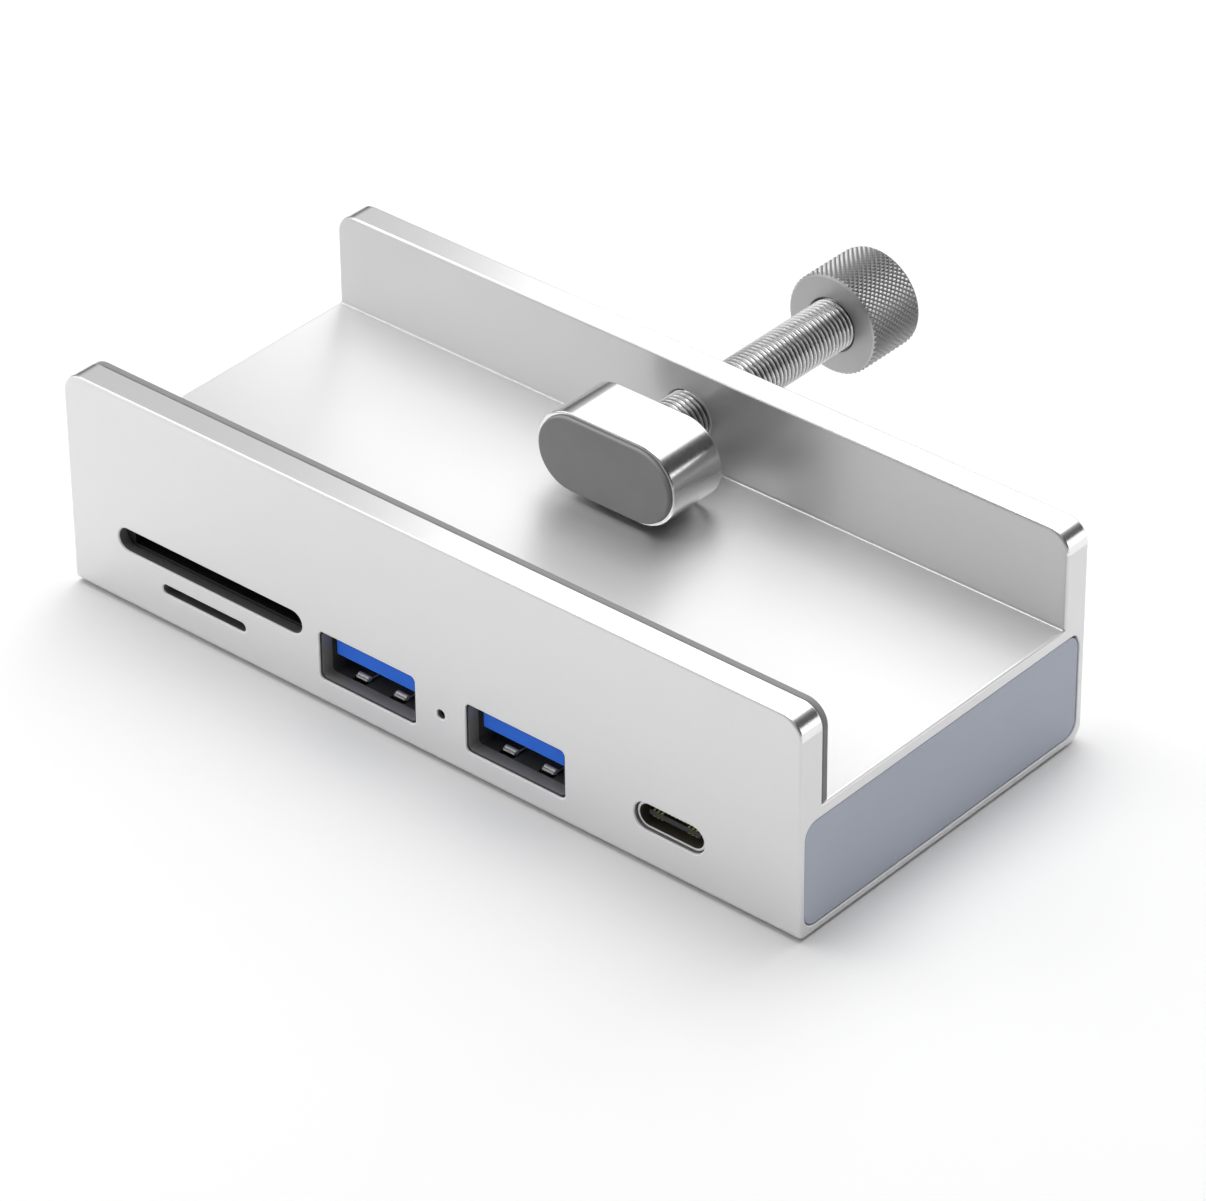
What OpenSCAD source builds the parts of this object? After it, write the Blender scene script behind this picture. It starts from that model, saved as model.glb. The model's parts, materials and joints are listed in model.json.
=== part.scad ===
// Desk-edge clamp USB hub: an aluminium extrusion with a clamp channel on top,
// a card reader and three USB ports in front, and a thumbscrew clamp at the back.
// Origin: bottom centre of the housing. X runs along the hub, the front ports
// face -Y, Z is up. Millimetres.

/* [Housing] */
// Length of the extrusion along X
hub_l = 100; // [100:1:110]
// Depth of the extrusion, front face to rear face
hub_d = 46; // [44:1:60]
// Height of the hollow base, up to the floor of the clamp channel
base_h = 15; // [15:0.5:18]
// Height of the two clamp walls above the channel floor
wall_h = 11.5; // [11:0.5:16]
// Thickness of each clamp wall
wall_t = 3.5; // [3:0.1:4]
// Radius of the top corners of the clamp walls
wall_r = 2.5; // [1:0.5:4]
// Radius of the lower front edge
front_edge_r = 1; // [0.5:0.1:1]
// Radius of the lower rear edge
rear_edge_r = 2; // [0.5:0.1:2]

/* [Base walls] */
// Wall between the ports and the inside of the base
face_t = 1.35; // [1.2:0.05:1.5]
// Rear and bottom walls of the base
skin_t = 1.2; // [1:0.1:1.4]
// Floor of the clamp channel
floor_t = 1.45; // [1.3:0.05:1.6]

/* [End caps] */
// Thickness of the visible panel of an end cap
cap_t = 1.15; // [1:0.05:1.2]
// Gap round the panel and its set-back from the end of the extrusion
cap_gap = 0.1; // [0.05:0.05:0.15]
// Corner radius of the panel
cap_r = 1.8; // [1.2:0.1:2]

/* [Ports] */
// Height of the USB ports, the light and the board's middle plane
port_z = 6.1; // [6:0.1:6.3]
// Centre of the left USB-A port
usb_a_left_x = -7.5; // [-7.6:0.1:-7.4]
// Centre of the right USB-A port
usb_a_right_x = 12.8; // [12.6:0.1:13]
// Centre of the front USB-C port
usb_c_x = 33.2; // [32:0.1:35]
// Centre of the SD card slot
sd_x = -29.8; // [-29.9:0.1:-29.7]
// Centre of the microSD card slot
microsd_x = -30.8; // [-31:0.1:-30]
// Centre of the status light
led_x = 2.7; // [2.4:0.1:3]
// Centre of the upstream USB-C port in the rear face
upstream_x = -31; // [-36:1:-24]

/* [Clamp] */
// Height of the screw axis above the channel floor
screw_rise = 5.4; // [5.4:0.1:6]
// Outer diameter of the screw's thread
screw_dia = 6; // [5:0.5:6]
// Length of thread between the jaw and the knob
screw_l = 29.4; // [29:0.1:34]
// Diameter of the knurled knob
knob_dia = 12; // [10:0.5:12]
// Length of the knob
knob_l = 8; // [7:0.5:10]
// Width of the jaw along X
jaw_w = 18.8; // [16:0.2:19]
// Height of the jaw
jaw_h = 9.8; // [9.4:0.1:9.8]
// Thickness of the jaw along Y
jaw_t = 7.8; // [7.6:0.1:9]
// Where the metal face of the jaw stands at rest, in Y
jaw_y = 6.2; // [4:0.1:8]
// Thickness of the grip strip on the front wall
grip_t = 0.8; // [0.6:0.1:1]

/* [Hidden] */
$fn = 48;

eps = 0.01;
front_y = -hub_d / 2;
rear_y = hub_d / 2;
end_x = hub_l / 2;
wall_top = base_h + wall_h;
screw_z = base_h + screw_rise;

// Board
board_t = 1.2;
board_top = port_z + 0.7;
board_bottom = board_top - board_t;
board_l = hub_l - 11;
board_front = front_y + face_t + 0.25;
board_rear = rear_y - skin_t - 0.8;
card_front = front_y + face_t + 0.05;
usb_a_front = front_y + 0.3;
usb_c_front = front_y + 0.5;

// USB-A receptacle
usb_a_w = 13.1;
usb_a_h = 5.7;
usb_a_l = 14;
usb_a_cut = [13.35, 5.9];
sheet_t = 0.3;
tongue_a_w = 11.1;
tongue_a_t = 1.84;
tongue_a_z = port_z - 0.2;
tongue_a_setback = 1.2;

// USB-C receptacle
usb_c_w = 8.94;
usb_c_h = 3.16;
usb_c_l = 7.4;
usb_c_cut = [9.2, 3.3];
tongue_c_w = 6.7;
tongue_c_t = 0.7;

// Upstream USB-C receptacle and the notch for the status light
rear_socket_y = rear_y - skin_t - 0.05 - usb_c_l;
led_w = 1.8;
led_d = 1;

// Card sockets
sd_cut = [26.5, 2.8];
sd_w = 28;
sd_l = 28;
sd_card = [24.2, 2.2];
sd_z = port_z + 2.45;
microsd_cut = [12, 1.15];
microsd_w = 14;
microsd_l = 15;
microsd_card = [11.3, 1];
microsd_z = port_z - 1.5;

// Clamp
jaw_back = jaw_y + jaw_t;
screw_start = jaw_back + 0.1;
knob_y = screw_start + screw_l;
running_gap = 0.05;
neck_dia = 4;
neck_end = jaw_y + 2.6;
clip_t = 0.6;
clip_y = neck_end + 0.5;
groove_dia = 3.2;
washer_t = 0.4;
washer_y = clip_y + clip_t + 0.05;
jaw_shoulder = washer_y + washer_t + 0.05;
pad_recess = 0.4;
pad_proud = 0.5;
pad_inset = 0.45;

// ---------- helpers ----------

module rounded_rect(w, h, r) {
    square([w - 2 * r, h], center = true);
    square([w, h - 2 * r], center = true);
    for (sx = [-1, 1], sy = [-1, 1])
        translate([sx * (w / 2 - r), sy * (h / 2 - r)]) circle(r);
}

// Box from its lowest corner and its size
module block(corner, size) {
    translate(corner) cube(size);
}

// Outline in X and Z, standing at y and running back by depth
module along_y(y, depth) {
    translate([0, y + depth, 0]) rotate([90, 0, 0]) linear_extrude(depth) children();
}

// Outline in Y and Z, starting at x and running right by length
module along_x(x, length) {
    translate([x, 0, 0]) rotate([90, 0, 90]) linear_extrude(length) children();
}

// What is cut from a square corner at the origin to round it, facing -X -Y
module corner_waste(r) {
    difference() {
        translate([-eps, -eps]) square(r + eps);
        translate([r, r]) circle(r);
    }
}

// ---------- housing ----------

module housing_profile() {
    difference() {
        translate([front_y, 0]) square([hub_d, wall_top]);
        translate([front_y + wall_t, base_h]) square([hub_d - 2 * wall_t, wall_top]);
        translate([front_y, 0]) corner_waste(front_edge_r);
        translate([rear_y, 0]) mirror([1, 0]) corner_waste(rear_edge_r);
    }
}

cavity_w = hub_d - face_t - skin_t;
cavity_h = base_h - skin_t - floor_t;
cavity_c = [(face_t - skin_t) / 2, skin_t + cavity_h / 2];

module cavity_profile(shrink) {
    translate(cavity_c) rounded_rect(cavity_w - 2 * shrink, cavity_h - 2 * shrink, 0.9);
}

// Panel outline of an end cap, with the metal rim that stays round it
rim_front = 0.8;
rim_rear = 0.9;
rim_bottom = 0.9;
rim_top = 1.4;

module panel_profile(shrink) {
    translate([(rim_front - rim_rear) / 2, (base_h + rim_bottom - rim_top) / 2])
        rounded_rect(hub_d - rim_front - rim_rear - 2 * shrink,
                     base_h - rim_bottom - rim_top - 2 * shrink, cap_r);
}

module front_cutouts() {
    for (x = [usb_a_left_x, usb_a_right_x])
        translate([x, 0, port_z]) along_y(front_y - 1, face_t + 2)
            rounded_rect(usb_a_cut.x, usb_a_cut.y, 0.6);
    translate([usb_c_x, 0, port_z]) along_y(front_y - 1, face_t + 2)
        rounded_rect(usb_c_cut.x, usb_c_cut.y, usb_c_cut.y / 2 - eps);
    translate([sd_x, 0, sd_z]) along_y(front_y - 1, face_t + 2)
        rounded_rect(sd_cut.x, sd_cut.y, sd_cut.y / 2 - eps);
    translate([microsd_x, 0, microsd_z]) along_y(front_y - 1, face_t + 2)
        rounded_rect(microsd_cut.x, microsd_cut.y, microsd_cut.y / 2 - eps);
    translate([led_x, 0, port_z]) along_y(front_y - 1, face_t + 2) circle(0.55);
}

module housing() {
    color("gainsboro") {
        difference() {
            along_x(-end_x, hub_l) housing_profile();
            for (side = [0, 1]) mirror([side, 0, 0])
                translate([end_x, 0, wall_top]) along_y(front_y - 1, hub_d + 2)
                    rotate(180) corner_waste(wall_r);
            along_x(-end_x - 1, hub_l + 2) cavity_profile(0);
            for (side = [0, 1]) mirror([side, 0, 0])
                along_x(end_x - cap_t - cap_gap, cap_t + 1) panel_profile(0);
            front_cutouts();
            translate([upstream_x, 0, port_z]) along_y(rear_y - skin_t - 1, skin_t + 2)
                rounded_rect(usb_c_cut.x, usb_c_cut.y, usb_c_cut.y / 2 - eps);
            translate([0, 0, screw_z]) along_y(rear_y - wall_t - 1, wall_t + 2)
                circle(screw_dia / 2 + running_gap);
        }
        // Two low rails that the board slides in on
        for (y = [-4.5, 13])
            block([-board_l / 2, y, skin_t - 0.2], [board_l, 1.2, board_bottom - skin_t + 0.2]);
    }
}

// ---------- end caps and grip strip ----------

skirt_l = 3.4;
finger_l = 4.8;
finger_grip = 0.6;

module end_cap() {
    inner_x = end_x - cap_t - cap_gap;
    color("slategray") {
        along_x(inner_x, cap_t) panel_profile(cap_gap);
        difference() {
            along_x(inner_x - skirt_l, skirt_l + eps) cavity_profile(0.1);
            along_x(inner_x - skirt_l - 1, skirt_l + 1) cavity_profile(1.1);
        }
        // Forked fingers that hold the ends of the board
        for (y = [-12, 7])
            difference() {
                block([inner_x - finger_l, y, board_bottom - 1.2], [finger_l + eps, 3, board_t + 2.4]);
                block([inner_x - finger_l - 1, y - 1, board_bottom], [finger_grip + 1, 5, board_t]);
            }
    }
}

module right_end_cap() { end_cap(); }

module left_end_cap() { mirror([1, 0, 0]) end_cap(); }

module front_grip_strip() {
    height = wall_top - base_h - 0.1;
    color("dimgray") difference() {
        block([-end_x + 0.1, front_y + wall_t, base_h], [hub_l - 0.2, grip_t, height]);
        for (side = [0, 1]) mirror([side, 0, 0])
            translate([end_x - 0.1, 0, base_h + height]) along_y(front_y, hub_d)
                rotate(180) corner_waste(wall_r);
    }
}

// ---------- board and its chips ----------

module main_board() {
    usb_notch = usb_a_w + 0.2;
    c_notch = usb_c_w + 0.2;
    color("darkgreen") difference() {
        block([-board_l / 2, board_front, board_bottom], [board_l, board_rear - board_front, board_t]);
        for (x = [usb_a_left_x, usb_a_right_x])
            block([x - usb_notch / 2, board_front - 1, board_bottom - 1],
                  [usb_notch, usb_a_front + usb_a_l + 0.1 - board_front + 1, board_t + 2]);
        block([usb_c_x - c_notch / 2, board_front - 1, board_bottom - 1],
              [c_notch, usb_c_front + usb_c_l + 0.1 - board_front + 1, board_t + 2]);
        block([upstream_x - c_notch / 2, rear_socket_y - 0.1, board_bottom - 1],
              [c_notch, usb_c_l + 1, board_t + 2]);
        block([led_x - led_w / 2, board_front - 1, board_bottom - 1], [led_w, 1 + led_d, board_t + 2]);
    }
}

// A chip standing on the board, centred at x, y
module chip(x, y, size) {
    block([x - size.x / 2, y - size.y / 2, board_top], size);
}

module hub_controller() { color("black") chip(22, 3, [9, 9, 0.9]); }

module card_controller() { color("black") chip(-8, 3, [7, 7, 0.85]); }

module firmware_flash() { color("black") chip(6, 11, [5, 4, 1.6]); }

module crystal() { color("silver") chip(14, 3, [3.2, 2.5, 0.8]); }

module buck_regulator() { color("black") chip(-16, 15, [3, 3, 1]); }

module power_inductor() { color("dimgray") chip(-10, 15.5, [4.4, 4.4, 2]); }

module bulk_capacitors() {
    color("goldenrod") for (x = [0, 33, 40]) chip(x, 15.5, [6, 3.2, 1.9]);
}

module ceramic_capacitors() {
    color("tan") {
        for (i = [0:4]) chip(18 + i * 2, 9.5, [1, 0.5, 0.5]);
        for (i = [0:4]) chip(18 + i * 2, -3.6, [1, 0.5, 0.5]);
        for (i = [0:3]) chip(-11 + i * 2, -2.4, [1, 0.5, 0.5]);
        for (i = [0:2]) chip(-20 + i * 2.4, 18.4, [1.6, 0.8, 0.8]);
    }
}

module chip_resistors() {
    color("black") {
        for (i = [0:4]) chip(28.4, -1 + i * 2, [0.5, 1, 0.4]);
        for (i = [0:3]) chip(-2.8, 0 + i * 2, [0.5, 1, 0.4]);
    }
}

module esd_arrays() {
    color("black") {
        for (x = [usb_a_left_x, usb_a_right_x]) chip(x, -5.6, [2.9, 1.5, 1]);
        chip(usb_c_x, -10.6, [2.9, 1.5, 1]);
        chip(upstream_x, rear_socket_y - 3, [2.9, 1.5, 1]);
    }
}

// ---------- USB-A receptacles ----------

// A sheet-metal spring in a window of the lower or upper wall
spring_w = 1.5;
spring_l = 4.6;
spring_y = 1.3;

module spring_window(x, z) {
    block([x - spring_w / 2 - 0.25, usb_a_front + spring_y, z - 0.5], [spring_w + 0.5, spring_l + 0.3, 1]);
}

module spring_finger(x, z, lean) {
    translate([x - spring_w / 2, usb_a_front + spring_y + spring_l + 0.4, z - 0.12])
        rotate([lean, 0, 0]) translate([0, -spring_l, 0]) {
            cube([spring_w, spring_l, 0.24]);
            translate([0, 0.5, 0.12]) rotate([0, 90, 0]) cylinder(r = 0.32, h = spring_w);
        }
}

module usb_a_shell(x) {
    spring_x = 2.65;
    low = port_z - usb_a_h / 2 + sheet_t / 2;
    high = port_z + usb_a_h / 2 - sheet_t / 2;
    color("silver") {
        difference() {
            translate([x, 0, port_z]) along_y(usb_a_front, usb_a_l)
                rounded_rect(usb_a_w, usb_a_h, 0.8);
            translate([x, 0, port_z]) along_y(usb_a_front - 1, usb_a_l + 2)
                rounded_rect(usb_a_w - 2 * sheet_t, usb_a_h - 2 * sheet_t, 0.5);
            for (sx = [-1, 1], z = [low, high]) spring_window(x + sx * spring_x, z);
        }
        for (sx = [-1, 1]) {
            spring_finger(x + sx * spring_x, low, -5);
            spring_finger(x + sx * spring_x, high, 5);
        }
        // Ears that are soldered to the top of the board
        for (sx = [-1, 1], y = [3.5, 10])
            block([x + (sx > 0 ? usb_a_w / 2 - eps : -usb_a_w / 2 - 1), usb_a_front + y, board_top],
                  [1 + eps, 2, 0.3]);
    }
}

module usb_a_tongue(x) {
    block_l = 4.4;
    color("royalblue") {
        translate([x, 0, port_z]) along_y(usb_a_front + usb_a_l - block_l, block_l)
            rounded_rect(usb_a_w - 2 * sheet_t, usb_a_h - 2 * sheet_t, 0.5);
        block([x - tongue_a_w / 2, usb_a_front + tongue_a_setback, tongue_a_z],
              [tongue_a_w, usb_a_l - block_l - tongue_a_setback + eps, tongue_a_t]);
    }
}

module usb_a_contacts(x) {
    tongue_front = usb_a_front + tongue_a_setback;
    color("goldenrod") {
        for (i = [-1.5:1:1.5])
            block([x + i * 2.3 - 0.5, tongue_front + 3.2, tongue_a_z - 0.12], [1, 4.7, 0.12]);
        for (i = [-2:2])
            block([x + i * 1.9 - 0.35, tongue_front + 0.5, tongue_a_z - 0.1], [0.7, 1.9, 0.1]);
    }
}

module left_usb_a_shell() { usb_a_shell(usb_a_left_x); }

module left_usb_a_tongue() { usb_a_tongue(usb_a_left_x); }

module left_usb_a_contacts() { usb_a_contacts(usb_a_left_x); }

module right_usb_a_shell() { usb_a_shell(usb_a_right_x); }

module right_usb_a_tongue() { usb_a_tongue(usb_a_right_x); }

module right_usb_a_contacts() { usb_a_contacts(usb_a_right_x); }

// ---------- USB-C receptacles, drawn with the mouth at y = 0 facing -Y ----------

module usb_c_shell() {
    ear_root = 0.35;
    color("silver") {
        difference() {
            along_y(0, usb_c_l) rounded_rect(usb_c_w, usb_c_h, usb_c_h / 2 - eps);
            along_y(-1, usb_c_l + 2)
                rounded_rect(usb_c_w - 2 * sheet_t, usb_c_h - 2 * sheet_t, usb_c_h / 2 - sheet_t - eps);
        }
        // Ears that are soldered to the top of the board
        for (sx = [-1, 1])
            block([sx > 0 ? usb_c_w / 2 - ear_root : -usb_c_w / 2 - 1, 3, board_top - port_z],
                  [1 + ear_root, 1.6, 0.3]);
    }
}

module usb_c_tongue() {
    block_l = 2.4;
    color("darkslategray") {
        along_y(usb_c_l - block_l, block_l)
            rounded_rect(usb_c_w - 2 * sheet_t, usb_c_h - 2 * sheet_t, usb_c_h / 2 - sheet_t - eps);
        block([-tongue_c_w / 2, 0.5, -tongue_c_t / 2],
              [tongue_c_w, usb_c_l - block_l - 0.5 + eps, tongue_c_t]);
    }
}

// The three contacts at each end reach further forward than the ones between them
module usb_c_contacts() {
    pitch = 0.5;
    contact_end = 4.5;
    color("goldenrod") for (i = [-5.5:1:5.5], side = [-1, 1]) {
        start = abs(i) > 3 ? 0.56 : 0.9;
        block([i * pitch - 0.13, start, side > 0 ? tongue_c_t / 2 : -tongue_c_t / 2 - 0.06],
              [0.26, contact_end - start, 0.06]);
    }
}

module at_front_c() { translate([usb_c_x, usb_c_front, port_z]) children(); }

module at_upstream_c() {
    translate([upstream_x, rear_y - skin_t - 0.05, port_z]) mirror([0, 1, 0]) children();
}

module front_usb_c_shell() { at_front_c() usb_c_shell(); }

module front_usb_c_tongue() { at_front_c() usb_c_tongue(); }

module front_usb_c_contacts() { at_front_c() usb_c_contacts(); }

module upstream_usb_c_shell() { at_upstream_c() usb_c_shell(); }

module upstream_usb_c_tongue() { at_upstream_c() usb_c_tongue(); }

module upstream_usb_c_contacts() { at_upstream_c() usb_c_contacts(); }

// ---------- card sockets: SD on top of the board, microSD under it ----------

// Open tray with the card space cut out of it; flip = -1 hangs it under the board
module socket_base(x, z, w, l, card, foot_z, flip) {
    tray_h = abs(z - foot_z) + card.y / 2;
    difference() {
        block([x - w / 2 + 0.25, card_front, flip > 0 ? foot_z : foot_z - tray_h], [w - 0.5, l, tray_h]);
        block([x - card.x / 2, card_front - 1, z - card.y / 2 - (flip > 0 ? 0 : 1)],
              [card.x, l - 1, card.y + 1]);
    }
}

module socket_cover(x, z, w, l, card, foot_z, flip, sheet) {
    lid_z = flip > 0 ? z + card.y / 2 : z - card.y / 2 - sheet;
    skirt_h = abs(z - foot_z) + card.y / 2 - 0.4;
    block([x - w / 2, card_front, lid_z], [w, l, sheet]);
    for (sx = [-1, 1])
        block([sx > 0 ? x + w / 2 - 0.25 : x - w / 2, card_front, flip > 0 ? lid_z - skirt_h : lid_z + sheet],
              [0.25, l, skirt_h]);
}

module sd_socket_base() {
    color("black") socket_base(sd_x, sd_z, sd_w, sd_l, sd_card, board_top, 1);
}

module sd_socket_cover() {
    color("silver") socket_cover(sd_x, sd_z, sd_w, sd_l, sd_card, board_top, 1, 0.25);
}

module sd_contacts() {
    floor_z = sd_z - sd_card.y / 2;
    color("goldenrod") for (i = [-4:4])
        block([sd_x + i * 2.5 - 0.4, card_front + 18, floor_z], [0.8, 8, 0.2]);
}

module microsd_socket_base() {
    color("black") socket_base(microsd_x, microsd_z, microsd_w, microsd_l, microsd_card, board_bottom, -1);
}

module microsd_socket_cover() {
    color("silver")
        socket_cover(microsd_x, microsd_z, microsd_w, microsd_l, microsd_card, board_bottom, -1, 0.2);
}

module microsd_contacts() {
    roof_z = microsd_z + microsd_card.y / 2;
    color("goldenrod") for (i = [-3.5:1:3.5])
        block([microsd_x + i * 1.1 - 0.3, card_front + 7, roof_z - 0.15], [0.6, 5, 0.15]);
}

// ---------- status light ----------

module status_led() {
    color("white") block([led_x - led_w / 2 + 0.1, board_front + led_d - 0.7, board_bottom + 0.1],
                         [led_w - 0.2, 0.7, board_t - 0.2]);
}

module light_pipe() {
    pipe_front = front_y + 0.6;
    flange_y = front_y + face_t;
    color("whitesmoke") {
        translate([led_x, 0, port_z]) along_y(pipe_front, flange_y - pipe_front + eps) circle(0.5);
        translate([led_x, 0, port_z]) along_y(flange_y, board_front + led_d - 0.7 - flange_y) circle(0.8);
    }
}

// ---------- clamp ----------

module on_axis(y, length, r) {
    translate([0, 0, screw_z]) along_y(y, length) circle(r);
}

module clamp_screw() {
    bore_l = knob_l - 2;
    color("silver") difference() {
        union() {
            on_axis(screw_start, screw_l + bore_l, screw_dia / 2);
            on_axis(neck_end, screw_start - neck_end + eps, neck_dia / 2);
        }
        difference() {
            on_axis(clip_y, clip_t, neck_dia);
            on_axis(clip_y - 1, clip_t + 2, groove_dia / 2);
        }
    }
}

module thumb_knob() {
    chamfer = 0.35;
    color("darkgray") difference() {
        translate([0, knob_y, screw_z]) rotate([-90, 0, 0]) rotate_extrude()
            polygon([[0, 0], [knob_dia / 2 - chamfer, 0], [knob_dia / 2, chamfer],
                     [knob_dia / 2, knob_l - chamfer], [knob_dia / 2 - chamfer, knob_l], [0, knob_l]]);
        on_axis(knob_y - 1, knob_l - 1, screw_dia / 2);
    }
}

module retaining_clip() {
    color("silver") difference() {
        on_axis(clip_y, clip_t, 3.4);
        on_axis(clip_y - 1, clip_t + 2, groove_dia / 2);
        // Mouth of the clip and the two side notches between its prongs
        block([-1.3, clip_y - 1, screw_z - 5], [2.6, clip_t + 2, 5]);
        for (side = [-1, 1]) translate([side * 1.75, 0, 0.9]) on_axis(clip_y - 1, clip_t + 2, 0.75);
    }
}

module swivel_washer() {
    color("silver") difference() {
        on_axis(washer_y, washer_t, 3.4);
        on_axis(washer_y - 1, washer_t + 2, neck_dia / 2 + running_gap * 2);
    }
}

module clamp_jaw() {
    color("lightgray") difference() {
        translate([0, 0, screw_z]) along_y(jaw_y, jaw_t) rounded_rect(jaw_w, jaw_h, jaw_h / 2 - eps);
        translate([0, 0, screw_z]) along_y(jaw_y - 1, pad_recess + 1)
            rounded_rect(jaw_w - 2 * pad_inset, jaw_h - 2 * pad_inset, jaw_h / 2 - pad_inset - eps);
        on_axis(jaw_y, jaw_shoulder - jaw_y, 3.7);
        on_axis(jaw_y, jaw_t + 1, neck_dia / 2 + running_gap * 2);
    }
}

module jaw_pad() {
    color("gray") translate([0, 0, screw_z]) along_y(jaw_y - pad_proud, pad_proud + pad_recess)
        rounded_rect(jaw_w - 2 * pad_inset, jaw_h - 2 * pad_inset, jaw_h / 2 - pad_inset - eps);
}

housing();
left_end_cap();
right_end_cap();
front_grip_strip();
main_board();
hub_controller();
card_controller();
firmware_flash();
crystal();
buck_regulator();
power_inductor();
bulk_capacitors();
ceramic_capacitors();
chip_resistors();
esd_arrays();
left_usb_a_shell();
left_usb_a_tongue();
left_usb_a_contacts();
right_usb_a_shell();
right_usb_a_tongue();
right_usb_a_contacts();
front_usb_c_shell();
front_usb_c_tongue();
front_usb_c_contacts();
upstream_usb_c_shell();
upstream_usb_c_tongue();
upstream_usb_c_contacts();
sd_socket_base();
sd_socket_cover();
sd_contacts();
microsd_socket_base();
microsd_socket_cover();
microsd_contacts();
status_led();
light_pipe();
clamp_screw();
thumb_knob();
retaining_clip();
swivel_washer();
clamp_jaw();
jaw_pad();
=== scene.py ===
import json
import math
import bmesh
import bpy
from mathutils import Matrix, Vector


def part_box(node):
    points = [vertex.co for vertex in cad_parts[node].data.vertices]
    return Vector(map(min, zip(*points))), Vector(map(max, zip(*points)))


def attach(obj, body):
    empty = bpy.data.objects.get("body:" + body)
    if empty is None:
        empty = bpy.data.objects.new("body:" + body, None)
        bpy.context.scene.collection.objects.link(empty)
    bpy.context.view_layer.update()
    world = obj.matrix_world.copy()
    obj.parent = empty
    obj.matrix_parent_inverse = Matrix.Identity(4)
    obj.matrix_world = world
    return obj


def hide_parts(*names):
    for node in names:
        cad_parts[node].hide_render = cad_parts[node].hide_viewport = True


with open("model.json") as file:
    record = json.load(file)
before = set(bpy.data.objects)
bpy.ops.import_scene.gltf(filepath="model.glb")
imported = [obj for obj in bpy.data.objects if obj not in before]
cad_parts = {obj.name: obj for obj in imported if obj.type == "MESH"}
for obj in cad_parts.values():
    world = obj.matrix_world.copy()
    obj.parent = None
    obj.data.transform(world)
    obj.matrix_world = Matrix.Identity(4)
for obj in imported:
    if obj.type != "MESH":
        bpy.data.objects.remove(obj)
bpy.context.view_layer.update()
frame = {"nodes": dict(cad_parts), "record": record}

# Desk-edge clamp USB hub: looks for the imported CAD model. Lengths are in
# millimetres times MM, which makes metres.
MM = 0.001

# ---------- camera ----------
CAMERA_PLACE = Vector((355.8, -403.7, 371.5)) * MM
CAMERA_AZIMUTH = 41.0
CAMERA_ELEVATION = 34.11
CAMERA_ROLL = -0.56
CAMERA_LENS = 185.5


def make_camera():
    az, el = math.radians(CAMERA_AZIMUTH), math.radians(CAMERA_ELEVATION)
    back = Vector((math.sin(az) * math.cos(el), -math.cos(az) * math.cos(el), math.sin(el)))
    data = bpy.data.cameras.new("camera")
    data.lens = CAMERA_LENS
    data.clip_start, data.clip_end = 0.01, 10
    camera = bpy.data.objects.new("camera", data)
    bpy.context.scene.collection.objects.link(camera)
    camera.rotation_mode = "QUATERNION"
    look = (-back).to_track_quat("-Z", "Y")
    roll = Matrix.Rotation(math.radians(CAMERA_ROLL), 4, "Z").to_quaternion()
    camera.rotation_quaternion = look @ roll
    camera.location = CAMERA_PLACE
    bpy.context.scene.camera = camera


make_camera()
bpy.context.scene.view_settings.view_transform = "Standard"


# ---------- material helpers ----------

def add(tree, kind, **inputs):
    """A new shader node with the named inputs set to values or linked to sockets."""
    node = tree.nodes.new(kind)
    for name, value in inputs.items():
        socket = node.inputs[name.replace("_", " ")]
        if isinstance(value, bpy.types.NodeSocket):
            tree.links.new(value, socket)
        else:
            socket.default_value = value
    return node


def place(tree, stretch=(1, 1, 1)):
    """Position on the piece in metres, stretched along its axes."""
    where = tree.nodes.new("ShaderNodeTexCoord").outputs["Object"]
    return add(tree, "ShaderNodeMapping", Vector=where, Scale=stretch).outputs["Vector"]


def noise(tree, size, detail=2.0, stretch=(1, 1, 1)):
    """Noise from 0 to 1 whose features are about size millimetres across."""
    node = add(tree, "ShaderNodeTexNoise", Vector=place(tree, stretch), Scale=1 / (size * MM), Detail=detail)
    return node.outputs["Fac"]


def spread(tree, value, low, high, start=0.3, end=0.7):
    """A 0 to 1 value turned into a number between low and high."""
    node = add(tree, "ShaderNodeMapRange", Value=value, From_Min=start, From_Max=end, To_Min=low, To_Max=high)
    return node.outputs["Result"]


def blend_colors(tree, factor, first, second):
    node = tree.nodes.new("ShaderNodeMix")
    node.data_type = "RGBA"
    tree.links.new(factor, node.inputs["Factor"])
    for index, color in ((6, first), (7, second)):
        node.inputs[index].default_value = (*color, 1)
    return node.outputs[2]


def relief(tree, height, depth, strength=1.0):
    """Normal bent by a height map that is depth millimetres deep."""
    node = add(tree, "ShaderNodeBump", Height=height, Distance=depth * MM, Strength=strength)
    return node.outputs["Normal"]


def shade(color, change):
    return tuple(max(0.0, min(1.0, c * (1 + change))) for c in color)


def material(name, metallic=0.0, **constants):
    """An empty Principled material; constants go straight on the shader's own sockets."""
    made = bpy.data.materials.new(name)
    made.use_nodes = True
    shader = made.node_tree.nodes["Principled BSDF"]
    shader.inputs["Metallic"].default_value = metallic
    for socket, value in constants.items():
        shader.inputs[socket.replace("_", " ")].default_value = value
    return made, made.node_tree, shader


def wire(tree, shader, **sources):
    for socket, source in sources.items():
        tree.links.new(source, shader.inputs[socket.replace("_", " ")])


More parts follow.
